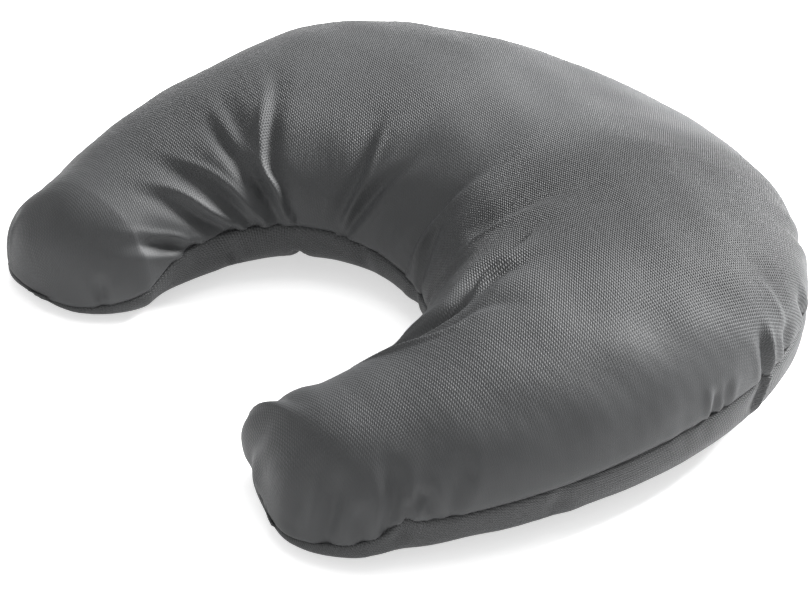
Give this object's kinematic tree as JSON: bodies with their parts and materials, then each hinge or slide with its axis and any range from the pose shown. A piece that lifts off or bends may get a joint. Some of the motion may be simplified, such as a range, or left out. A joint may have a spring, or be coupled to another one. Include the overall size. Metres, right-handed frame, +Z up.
{
  "type": "nursing pillow",
  "caption": "Half-moon nursing pillow with a filled inner cushion and a zipped textured-knit cover that curves round the waist.",
  "frame": {"origin": "centre of the footprint's bounding box, on the surface the pillow rests on", "axes": "+X from arm to arm (the width), +Y toward the back of the pillow, so the two arms and the waist opening face -Y, +Z up"},
  "size_m": [0.5982, 0.547, 0.1504],
  "materials": {
    "cover_fabric_top": "matt textured knit, dark grey",
    "cover_fabric_bottom": "matt textured knit, dark grey",
    "cover_thread": "matt sewing thread, dark grey",
    "inner_case_fabric": "plain white cotton blend",
    "inner_case_thread": "matt white sewing thread",
    "polyester_filling": "loose white polyester fibre",
    "zip_tape": "woven dark grey tape",
    "zip_coil": "moulded nylon coil, dark grey",
    "zip_metal": "dark painted metal",
    "slider_metal": "dark painted metal",
    "pull_tab_metal": "dark painted metal"
  },
  "bodies": {
    "pillow": {"cover_top_panel": "cover_fabric_top", "cover_bottom_panel": "cover_fabric_bottom", "cover_seam_thread": "cover_thread", "inner_case_top_panel": "inner_case_fabric", "inner_case_bottom_panel": "inner_case_fabric", "inner_case_seam_thread": "inner_case_thread", "filling": "polyester_filling", "zip_tape_upper": "zip_tape", "zip_tape_lower": "zip_tape", "zip_stitching_upper": "cover_thread", "zip_stitching_lower": "cover_thread", "zip_coil_upper": "zip_coil", "zip_coil_lower": "zip_coil", "zip_top_stops": "zip_metal", "zip_bottom_stop": "zip_metal", "zip_bar_tacks": "cover_thread"},
    "zip_slider": {"zip_slider_body": "slider_metal", "zip_slider_bridge": "slider_metal"},
    "zip_pull": {"zip_pull_tab": "pull_tab_metal"}
  },
  "joints": [
    {"name": "zip_slider_travel", "type": "hinge", "parent": "pillow", "child": "zip_slider", "pos_m": [0, -0.1013, 0.052], "axis": [0, 0, 1], "range_deg": [0, 46.5], "deforming": ["zip_coil_upper", "zip_coil_lower"]},
    {"name": "zip_pull_tab_swing", "type": "hinge", "parent": "zip_slider", "child": "zip_pull", "pos_m": [0.1508, 0.23767, 0.052], "axis": [0, 0, 1], "range_deg": [-150, 0]}
  ]
}
